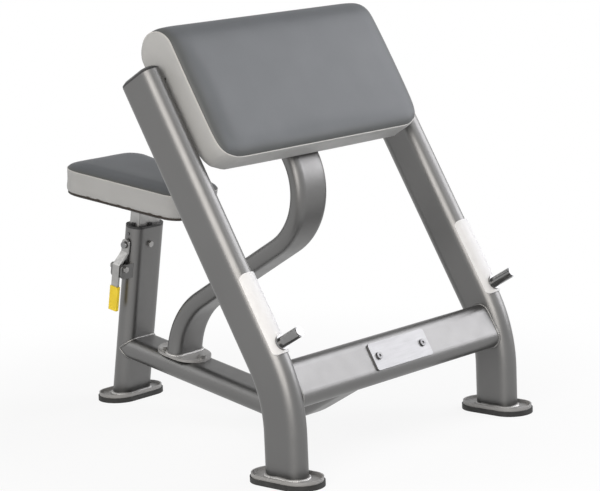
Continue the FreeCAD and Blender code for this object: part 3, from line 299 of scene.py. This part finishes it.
def seat_vinyl():
    """Dark top above the seam, light wall below it."""
    made = Surface("seat_vinyl")
    rise = made.along(SEAT.translation, SEAT.to_3x3() @ Vector((0, 0, 1)))
    past = made.math("SUBTRACT", rise, SEAT_SEAM)
    # Painted shade: the dark top darkens just inside the seam.
    two_vinyls(made, past, made.ramp(past, 0.0, SEAT_EDGE_SHADE, 0.1, 1.0, True))
    return made.material


def piping_vinyl(name, dark, light):
    made = Surface(name)
    drift = made.ramp(made.noise(40.0, 4.0), *SOFT_NOISE_SPAN, 0.0, 1.0)
    vinyl_finish(made, made.mix(drift, dark, light))
    return made.material


FRAME_PAINT = paint_material("frame_paint", (0.157, 0.156, 0.154), (0.180, 0.179, 0.177))
# Painted light: a lighter, less metallic copy of the frame paint for the foot plates and the brace plate,
# standing in for the light their upward faces catch.
LIT_FOOT_PAINT = paint_material("lit_foot_paint", (0.27, 0.267, 0.262), (0.32, 0.317, 0.312), (0.42, 0.48), 0.25)
# Painted highlight: the foot and brace weld beads get a paint much lighter than the frame's, standing in for
# the light their lumps catch.
LIT_WELD_PAINT = plain_material("lit_weld_paint", (0.30, 0.298, 0.294), (0.46, 0.457, 0.45), (0.34, 0.46), 0.6,
                            grain=420.0, bump=0.1)
# Painted highlight: the tube weld beads are frame-dark paint with random lighter patches that stand in for
# glints on the bead.
TUBE_WELD_GLINTS = plain_material("tube_weld_glint_paint", (0.15, 0.149, 0.147), (0.30, 0.297, 0.29), (0.36, 0.46), 0.9,
                           grain=420.0, bump=0.1)
RUBBER = plain_material("foot_rubber", (0.012, 0.012, 0.012), (0.024, 0.024, 0.023), (0.6, 0.8),
                        grain=500.0, bump=0.2)
BLACK_PLASTIC = plain_material("black_plastic", (0.012, 0.012, 0.013), (0.022, 0.022, 0.023), (0.35, 0.5))
WHITE_PLASTIC = plain_material("white_plastic", (0.73, 0.73, 0.73), (0.76, 0.76, 0.76), (0.45, 0.55),
                               grain=160.0, Specular_IOR_Level=0.3)
CHROME = plain_material("chrome", (0.21, 0.21, 0.21), (0.25, 0.25, 0.25), (0.16, 0.24), 1.0,
                        grain=220.0, bump=0.02)
ZINC = plain_material("zinc_steel", (0.30, 0.298, 0.292), (0.39, 0.387, 0.38), (0.28, 0.45), 0.9,
                      grain=260.0, bump=0.08)
SPRING_STEEL = plain_material("spring_steel", (0.12, 0.12, 0.125), (0.2, 0.2, 0.2), (0.3, 0.45), 0.9)
ALUMINIUM = plain_material("plate_aluminium", (0.212, 0.212, 0.214), (0.225, 0.225, 0.227), (0.34, 0.44), 0.9,
                           grain=700.0, bump=0.06, stretch=(0.25, 6.0, 6.0))
YELLOW = plain_material("yellow_grip", (0.76, 0.55, 0.018), (0.83, 0.62, 0.03), (0.4, 0.55),
                        grain=420.0, bump=0.1)
SHADED_PLYWOOD = shaded_plywood_material()
# Painted highlight: the seam piping is a real bead, coloured lighter than the light border so that it also
# stands in for the highlight along the seam.
PIPING_HIGHLIGHT = piping_vinyl("piping_vinyl", (0.47, 0.465, 0.45), (0.52, 0.515, 0.5))
# Painted shadow: near-black vinyl for the tube along the seat's lower edge.
SHADOW_LINE = piping_vinyl("shadow_line_vinyl", (0.030, 0.027, 0.025), (0.042, 0.038, 0.035))

SLOT_MATERIALS = {
    "frame_paint": FRAME_PAINT,
    "foot_rubber": RUBBER,
    "black_plastic": BLACK_PLASTIC,
    "white_plastic": WHITE_PLASTIC,
    "chrome": CHROME,
    "zinc_steel": ZINC,
    "spring_steel": SPRING_STEEL,
    "plate_aluminium": ALUMINIUM,
    "plywood": SHADED_PLYWOOD,
    "vinyl": PIPING_HIGHLIGHT,
    "yellow_grip": YELLOW,
}
NODE_MATERIALS = {
    "sleeve_screw": SPRING_STEEL,
    "nameplate_screws": SPRING_STEEL,
    # The foot plates and the brace plate take the lighter copy of the frame paint, a painted highlight.
    "left_foot_plate": LIT_FOOT_PAINT,
    "right_foot_plate": LIT_FOOT_PAINT,
    "rear_foot_plate": LIT_FOOT_PAINT,
    "brace_plate": LIT_FOOT_PAINT,
}
for part in frame["record"]["subparts"]:
    item = frame["nodes"][part["node"]]
    item.data.materials.clear()
    item.data.materials.append(NODE_MATERIALS.get(part["node"], SLOT_MATERIALS[part["material_slot"]]))


# Helpers for pieces


def new_piece(name, mesh, material, body):
    piece = bpy.data.objects.new(name, mesh)
    bpy.context.scene.collection.objects.link(piece)
    mesh.materials.clear()
    mesh.materials.append(material)
    mesh.polygons.foreach_set("use_smooth", [True] * len(mesh.polygons))
    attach(piece, body)


def ring_gap(one, two, shift):
    """Summed distance between two rings of corners, the second one turned by shift places."""
    return sum((corner.co - two[(k + shift) % len(two)].co).length for k, corner in enumerate(one))


def sweep(shape, path, radius, closed, sides):
    """Adds a round tube along path to a bmesh; radius is a function of the length along the path."""
    count = len(path)
    rings = []
    length = 0.0
    side = None
    for i, point in enumerate(path):
        before = path[i - 1] if closed or i else point
        after = path[(i + 1) % count] if closed or i < count - 1 else point
        way = (after - before).normalized()
        side = (way.orthogonal() if side is None else side - way * side.dot(way)).normalized()
        up = way.cross(side)
        size = radius(length)
        ring = []
        for k in range(sides):
            turn = 2 * math.pi * k / sides
            ring.append(shape.verts.new(point + (side * math.cos(turn) + up * math.sin(turn)) * size))
        rings.append(ring)
        length += (path[(i + 1) % count] - point).length
    joined = list(zip(rings, rings[1:]))
    if closed:
        # The last ring meets the first where their corners lie nearest.
        shift = min(range(sides), key=lambda places: ring_gap(rings[-1], rings[0], places))
        joined.append((rings[-1], rings[0][shift:] + rings[0][:shift]))
    else:
        shape.faces.new(list(reversed(rings[0])))
        shape.faces.new(rings[-1])
    for one, two in joined:
        for k in range(sides):
            shape.faces.new((one[k], one[(k + 1) % sides], two[(k + 1) % sides], two[k]))


def finish_mesh(shape, name):
    bmesh.ops.recalc_face_normals(shape, faces=shape.faces)
    mesh = bpy.data.meshes.new(name)
    shape.to_mesh(mesh)
    shape.free()
    return mesh


def resample(points, step, closed):
    """Evenly spaced points along a polyline."""
    points = list(points) + ([points[0]] if closed else [])
    runs = [(b - a).length for a, b in zip(points, points[1:])]
    total = sum(runs)
    count = max(int(round(total / step)), 4)
    result = []
    index = 0
    passed = 0.0
    for i in range(count if closed else count + 1):
        target = min(total * i / count, total - 1e-9)
        while passed + runs[index] < target:
            passed += runs[index]
            index += 1
        result.append(points[index].lerp(points[index + 1], (target - passed) / runs[index]))
    return result


def oblong(long, short, steps=20):
    """Points round an oblong whose long side is along the first axis."""
    half = (long - short) / 2
    points = []
    for centre, start in ((half, -90), (-half, 90)):
        for i in range(steps + 1):
            turn = math.radians(start + 180 * i / steps)
            points.append((centre + short / 2 * math.cos(turn), short / 2 * math.sin(turn)))
    return points


# Weld beads


def bead_radius(seed, size):
    """Ripples like a row of overlapping weld pools, a little uneven."""
    def at(length):
        pools = abs(math.sin(length * math.pi / POOL_LENGTH + seed))
        drift = math.sin(length * 61 + seed * 3.1) + math.sin(length * 143 + seed * 5.3)
        return size * (0.80 + 0.18 * pools + 0.1 * drift)
    return at


def add_beads(name, loops, size, material):
    shape = bmesh.new()
    for index, loop in enumerate(loops):
        sweep(shape, resample(loop, BEAD_STEP, True), bead_radius(index * 1.7, size), True, 8)
    new_piece(name, finish_mesh(shape, name), material, "frame")


def foot_loops(ring):
    """Round both legs and the leaning post, where they stand on their foot plates."""
    loops = []
    for side in (-1, 1):
        loops.append([Vector((side * LEG_X + b, FRONT_Y + a, FOOT_TOP)) for a, b in ring])
    lean = 1 / math.cos(BASE_TILT)
    shift = FOOT_TOP * math.tan(BASE_TILT)
    loops.append([Vector((a, POST_Y - shift + b * lean, FOOT_TOP)) for a, b in ring])
    return loops


def tube_loops(ring):
    """Round both ends of the crossbar and both ends of the beam."""
    loops = []
    for side in (-1, 1):
        inside = side * (LEG_X - TUBE_SHORT / 2)
        loops.append([SLOPE @ Vector((inside, b, CROSSBAR_RISE + a)) for a, b in ring])
    loops.append([SLOPE @ Vector((a, TUBE_SHORT / 2, CROSSBAR_RISE + b)) for a, b in ring])
    on_post = []
    for a, b in ring:
        past = max(abs(a) - TUBE_SHORT / 2, 0.0)
        depth = math.sqrt(max((TUBE_SHORT / 2) ** 2 - past * past, 0.0))
        on_post.append(BASE @ Vector((a, -depth, BEAM_LEVEL + b)))
    loops.append(on_post)
    return loops


tube_ring = oblong(TUBE_LONG, TUBE_SHORT)
brace_ring = oblong(BRACE_LONG, BRACE_SHORT)
brace_loop = [BASE @ Vector((a, b - BRACE_REACH, BRACE_FOOT)) for a, b in brace_ring]
# The foot and brace beads take the lighter weld paint, a painted highlight.
add_beads("foot_weld_beads", foot_loops(tube_ring), FOOT_BEAD, LIT_WELD_PAINT)
add_beads("brace_weld_beads", [brace_loop], BRACE_BEAD, LIT_WELD_PAINT)
# The tube beads take paint whose lighter patches are painted glints.
add_beads("tube_weld_beads", tube_loops(tube_ring), TUBE_BEAD, TUBE_WELD_GLINTS)


# Cushions


def local_copy(node, place, name):
    """The node's mesh in a local frame, so that its flat sides lie along the axes."""
    mesh = frame["nodes"][node].data.copy()
    mesh.name = name
    mesh.materials.clear()
    mesh.transform(place.inverted())
    return mesh


def applied(piece):
    """The piece's mesh with its modifiers worked in."""
    graph = bpy.context.evaluated_depsgraph_get()
    return bpy.data.meshes.new_from_object(piece.evaluated_get(graph))


def remeshed(node, name, place):
    """A new object with the node's shape in even squares."""
    piece = bpy.data.objects.new(name, local_copy(node, place, name))
    bpy.context.scene.collection.objects.link(piece)
    remesh = piece.modifiers.new("remesh", "REMESH")
    remesh.mode = "VOXEL"
    remesh.voxel_size = COVER_VOXEL
    mesh = applied(piece)
    old = piece.data
    piece.modifiers.clear()
    piece.data = mesh
    bpy.data.meshes.remove(old)
    return piece


def evened(mesh, values, rounds, chosen=None):
    """The values or places, one a vertex, averaged with their neighbours' over and over where chosen."""
    near = [[] for _ in values]
    for edge in mesh.edges:
        one, two = edge.vertices
        near[one].append(two)
        near[two].append(one)
    picked = [i for i in range(len(values)) if chosen is None or chosen[i]]
    for _ in range(rounds):
        fresh = list(values)
        for i in picked:
            fresh[i] = sum((values[k] for k in near[i]), values[i]) / (1 + len(near[i]))
        values = fresh
    return values


def blown_up(piece, base, normals, held):
    """How far cloth pressure lifts each vertex along its normal, once the cover is drawn in."""
    for vertex, normal, fixed in zip(piece.data.vertices, normals, held):
        if not fixed:
            vertex.co -= normal * COVER_SHRINK
    group = piece.vertex_groups.new(name="held")
    group.add([i for i, fixed in enumerate(held) if fixed], 1.0, "REPLACE")
    cloth = piece.modifiers.new("cloth", "CLOTH")
    cloth.settings.quality = 6
    cloth.settings.mass = 0.35
    cloth.settings.tension_stiffness = 18
    cloth.settings.compression_stiffness = 18
    cloth.settings.shear_stiffness = 8
    cloth.settings.bending_stiffness = 1.5
    cloth.settings.use_pressure = True
    cloth.settings.uniform_pressure_force = 4.0
    cloth.settings.effector_weights.gravity = 0.0
    cloth.settings.vertex_group_mass = "held"
    cloth.collision_settings.use_collision = False
    cloth.point_cache.frame_start = 1
    cloth.point_cache.frame_end = CLOTH_FRAMES
    for step in range(1, CLOTH_FRAMES + 1):
        bpy.context.scene.frame_set(step)
    swollen = applied(piece)
    risen = [(v.co - old).dot(normal) for v, old, normal in zip(swollen.vertices, base, normals)]
    bpy.data.meshes.remove(swollen)
    bpy.context.scene.frame_set(1)
    piece.modifiers.clear()
    piece.vertex_groups.clear()
    return risen


def stuffed(node, name, place, swell, pinned, soft, limit):
    """A cushion from its solid: evened where soft, blown up where it isn't pinned, and held in bounds."""
    piece = remeshed(node, name, place)
    mesh = piece.data
    base = [v.co.copy() for v in mesh.vertices]
    base = evened(mesh, base, BASE_ROUNDS, [soft(co) for co in base])
    for vertex, co in zip(mesh.vertices, base):
        vertex.co = co
    mesh.update()
    normals = [v.normal.copy() for v in mesh.vertices]
    held = [pinned(co) for co in base]
    risen = blown_up(piece, base, normals, held)
    risen = [0.0 if fixed else min(max(value, swell[0]), swell[1]) for value, fixed in zip(risen, held)]
    risen = evened(mesh, risen, SWELL_ROUNDS)
    for vertex, old, normal, value in zip(mesh.vertices, base, normals, risen):
        vertex.co = limit(old + normal * value)
    mesh.transform(place)
    mesh.polygons.foreach_set("use_smooth", [True] * len(mesh.polygons))
    finer = piece.modifiers.new("finer", "SUBSURF")
    finer.levels = 1
    finer.render_levels = 1
    return piece


def pad_pinned(point):
    """The cover's turned edge on the board, below the roll."""
    return point.y > -PAD_BACK - PAD_STAPLED and point.z < PAD_WAIST


def pad_soft(point):
    return point.y < -PAD_BACK - PAD_STAPLED or point.z > PAD_WAIST


def pad_limit(point):
    """Keeps the pad's ends clear of the legs."""
    reach = min(abs(point.x), PAD_HALF + PAD_CLEAR)
    return Vector((math.copysign(reach, point.x), point.y, point.z))


def seat_pinned(point):
    """The cover's turned edge on the board."""
    return point.z < SEAT_BOTTOM + SEAT_BOARD + SEAT_STAPLED


def seat_soft(point):
    """The lower edge, where the slanted walls meet the bottom."""
    return point.z < SEAT_BOTTOM + SEAT_SOFT


def seat_limit(point):
    """Nothing stands close to the seat, so it swells freely."""
    return point


arm_pad = stuffed("arm_pad", "arm_pad_cushion", SLOPE, PAD_SWELL, pad_pinned, pad_soft, pad_limit)
arm_pad.data.materials.append(pad_vinyl())
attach(arm_pad, "frame")
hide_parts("arm_pad")

seat = stuffed("seat_cushion", "seat_cushion_cover", SEAT, SEAT_SWELL, seat_pinned, seat_soft, seat_limit)
seat.data.materials.append(seat_vinyl())
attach(seat, "seat")
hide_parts("seat_cushion")


# Piping along the seams


def surface_of(piece):
    """A search tree over the finished surface."""
    mesh = applied(piece)
    tree = BVHTree.FromPolygons([v.co for v in mesh.vertices], [p.vertices for p in mesh.polygons])
    bpy.data.meshes.remove(mesh)
    return tree


def cast(tree, place, start, towards):
    """Where a line from start towards a point, both local, first meets the surface."""
    origin = place @ start
    return tree.ray_cast(origin, (place @ towards - origin).normalized())[0]


def pad_half_seam(side, inner, low):
    """Lines that meet the seam over the roll at one end, down the front edge and round the low corner."""
    lines = []
    for turn in range(-40, 181, 4):
        angle = math.radians(turn)
        y = -SEAM_ROLL_OUT + SEAM_ROLL * math.cos(angle)
        z = ROLL_RISE + SEAM_ROLL * math.sin(angle)
        lines.append((Vector((side * 0.5, y, z)), Vector((0, y, z))))
    rise = ROLL_RISE - SEAM_STEP
    while rise > low:
        lines.append((Vector((side * 0.5, -SEAM_FRONT, rise)), Vector((0, -SEAM_FRONT, rise))))
        rise -= SEAM_STEP
    middle = Vector((side * inner, -SEAM_FRONT, low))
    for turn in range(0, 90, 5):
        angle = math.radians(turn)
        away = Vector((side * math.cos(angle), 0, -math.sin(angle)))
        lines.append((middle + away * 0.2, middle))
    return lines


def pad_seam(tree):
    """Over the roll at one end, down, along the bottom and up the other side, on the seam's profile."""
    inner = PAD_HALF - PAD_CORNER
    low = PAD_BOTTOM + PAD_CORNER
    lines = pad_half_seam(-1, inner, low)
    for i in range(81):
        x = inner * (i / 40 - 1)
        lines.append((Vector((x, -SEAM_FRONT, low - 0.2)), Vector((x, -SEAM_FRONT, low))))
    lines += reversed(pad_half_seam(1, inner, low))
    hits = [cast(tree, SLOPE, start, towards) for start, towards in lines]
    return [hit for hit in hits if hit is not None]


def seat_ring(tree, level, inset=0.0, drop=0.0):
    """Round the seat's wall at a level, then drawn in and let down."""
    path = []
    middle = Vector((0, SEAT_MIDDLE_Y, level))
    count = 240
    for i in range(count):
        angle = 2 * math.pi * i / count
        away = Vector((math.cos(angle), math.sin(angle), 0))
        point = cast(tree, SEAT, middle + away * 0.4, middle)
        path.append(point - SEAT.to_3x3() @ (away * inset + Vector((0, 0, drop))))
    return path


def smoothed(points, closed, rounds=4):
    for _ in range(rounds):
        last = len(points) - 1
        points = [
            point if not closed and i in (0, last)
            else (points[i - 1] + point * 2 + points[(i + 1) % len(points)]) / 4
            for i, point in enumerate(points)
        ]
    return points


def add_piping(name, points, closed, body, radius, material):
    shape = bmesh.new()
    sweep(shape, resample(smoothed(points, closed), PIPING_STEP, closed), lambda length: radius, closed, 10)
    new_piece(name, finish_mesh(shape, name), material, body)


# The pad and seat piping are coloured lighter than the border, a painted highlight along the seams.
add_piping("arm_pad_piping", pad_seam(surface_of(arm_pad)), False, "frame", PAD_PIPING, PIPING_HIGHLIGHT)
seat_surface = surface_of(seat)
add_piping("seat_piping", seat_ring(seat_surface, SEAT_SEAM), True, "seat", SEAT_PIPING, PIPING_HIGHLIGHT)
# Painted shadow: a dark tube just under the seat's wall, along its lower edge.
shadow_line_path = seat_ring(seat_surface, SEAT_BOTTOM + SHADOW_LINE_LEVEL, SHADOW_LINE_INSET, SHADOW_LINE_DROP)
add_piping("seat_lower_shadow_line", shadow_line_path, True, "seat", SHADOW_LINE_RADIUS, SHADOW_LINE)


# Camera, floor and light

# Fitted to the straight edges in the photo; the focal length is in pixels of its width.
CAMERA_TURN = 0.8384201509700056
CAMERA_DOWN = 0.17882221275408927
CAMERA_ROLL = -0.0415660106696598
CAMERA_PLACE = Vector((-3.7374, -3.5051, 1.3135))
CAMERA_FOCUS = 2366.8388
PHOTO_WIDTH = 600
SENSOR_WIDTH = 36
# Light from the world, and how bright it looks overhead; heights are of a unit direction.
WORLD_LEVEL = 0.2
WORLD_OVERHEAD = 0.7
HORIZON_HEIGHT = 0.12
OVERHEAD_HEIGHT = 0.7
# The floor is mostly white near the bench, so that it keeps a faint shadow, and all white further out.
FLOOR_REACH = 30.0
FLOOR_TONE = (0.76, 0.76, 0.76)
FLOOR_WHITE_NEAR = 0.88
SHADOW_NEAR = 0.5
SHADOW_FAR = 1.3
# Name, place, target, size, power and colour.
LAMPS = (
    ("key", (-2.95, -1.35, 1.6), (0, -0.2, 0.5), (2.8, 2.4), 93, (1.0, 0.955, 0.91)),
    ("right", (3.22, -2.05, 2.5), (0, -0.3, 0.3), (3.4, 3.4), 146, (0.97, 0.965, 1.0)),
    ("front", (0.2, -2.9, 2.85), (0, -0.2, 0.5), (2.4, 1.6), 16, (1.0, 1.0, 1.0)),
    ("back", (-2.0, 3.0, 3.0), (0, 0.2, 0.4), (2.4, 2.4), 27, (1.0, 1.0, 1.0)),
)


def add_camera():
    flat = math.cos(CAMERA_DOWN)
    look = Vector((math.sin(CAMERA_TURN) * flat, math.cos(CAMERA_TURN) * flat, -math.sin(CAMERA_DOWN)))
    level = Vector((math.cos(CAMERA_TURN), -math.sin(CAMERA_TURN), 0))
    above = level.cross(look)
    right = level * math.cos(CAMERA_ROLL) + above * math.sin(CAMERA_ROLL)
    up = above * math.cos(CAMERA_ROLL) - level * math.sin(CAMERA_ROLL)
    data = bpy.data.cameras.new("camera")
    data.sensor_fit = "HORIZONTAL"
    data.sensor_width = SENSOR_WIDTH
    data.lens = CAMERA_FOCUS / PHOTO_WIDTH * SENSOR_WIDTH
    data.clip_end = 60
    camera = bpy.data.objects.new("camera", data)
    turned = Matrix((right, up, -look)).transposed().to_4x4()
    camera.matrix_world = Matrix.Translation(CAMERA_PLACE) @ turned
    bpy.context.scene.collection.objects.link(camera)
    bpy.context.scene.camera = camera


def seen_directly(graph):
    """One for camera, mirror and glass rays, nought for the light that falls on the object."""
    path = graph.node("ShaderNodeLightPath").outputs
    mirrored = graph.math("MAXIMUM", path["Is Camera Ray"], path["Is Glossy Ray"])
    return graph.math("MAXIMUM", mirrored, path["Is Transmission Ray"])


def add_world():
    """A plain level for the light; seen directly or mirrored it is white at the horizon, darker overhead."""
    world = bpy.data.worlds.new("studio")
    world.use_nodes = True
    graph = Graph(world.node_tree)
    background = graph.tree.nodes["Background"]
    way = graph.node("ShaderNodeTexCoord").outputs["Generated"]
    height = graph.node("ShaderNodeSeparateXYZ", Vector=way).outputs["Z"]
    shown = graph.ramp(height, HORIZON_HEIGHT, OVERHEAD_HEIGHT, 1.0, WORLD_OVERHEAD, True)
    strength = graph.ramp(seen_directly(graph), 0.0, 1.0, WORLD_LEVEL, shown)
    graph.feed(background.inputs["Color"], (1, 1, 1))
    graph.feed(background.inputs["Strength"], strength)
    bpy.context.scene.world = world


def add_floor():
    """A pale floor that keeps a faint shadow round the feet and goes over to plain white further out."""
    mesh = bpy.data.meshes.new("floor")
    corners = [(x * FLOOR_REACH, y * FLOOR_REACH, 0) for x, y in ((-1, -1), (1, -1), (1, 1), (-1, 1))]
    mesh.from_pydata(corners, [], [(0, 1, 2, 3)])
    floor = bpy.data.objects.new("floor", mesh)
    bpy.context.scene.collection.objects.link(floor)
    made = Surface("floor")
    made.set(Base_Color=FLOOR_TONE, Roughness=0.9, Specular_IOR_Level=0.0)
    far = made.vector("LENGTH", made.place)["Value"]
    white = made.ramp(far, SHADOW_NEAR, SHADOW_FAR, FLOOR_WHITE_NEAR, 1.0, True)
    mixed = made.node("ShaderNodeMixShader")
    made.feed(mixed.inputs[0], made.math("MULTIPLY", seen_directly(made), white))
    made.feed(mixed.inputs[1], made.shader.outputs["BSDF"])
    made.feed(mixed.inputs[2], made.node("ShaderNodeEmission").outputs["Emission"])
    made.feed(made.tree.nodes["Material Output"].inputs["Surface"], mixed.outputs["Shader"])
    mesh.materials.append(made.material)


def add_lamp(name, place, target, size, power, colour):
    data = bpy.data.lights.new(name, "AREA")
    data.shape = "RECTANGLE"
    data.size, data.size_y = size
    data.energy = power
    data.color = colour
    lamp = bpy.data.objects.new(name, data)
    lamp.location = place
    lamp.visible_camera = False
    lamp.rotation_mode = "QUATERNION"
    lamp.rotation_quaternion = (Vector(target) - Vector(place)).to_track_quat("-Z", "Y")
    bpy.context.scene.collection.objects.link(lamp)


add_camera()
add_world()
add_floor()
for lamp in LAMPS:
    add_lamp(*lamp)
bpy.context.scene.view_settings.view_transform = "Standard"
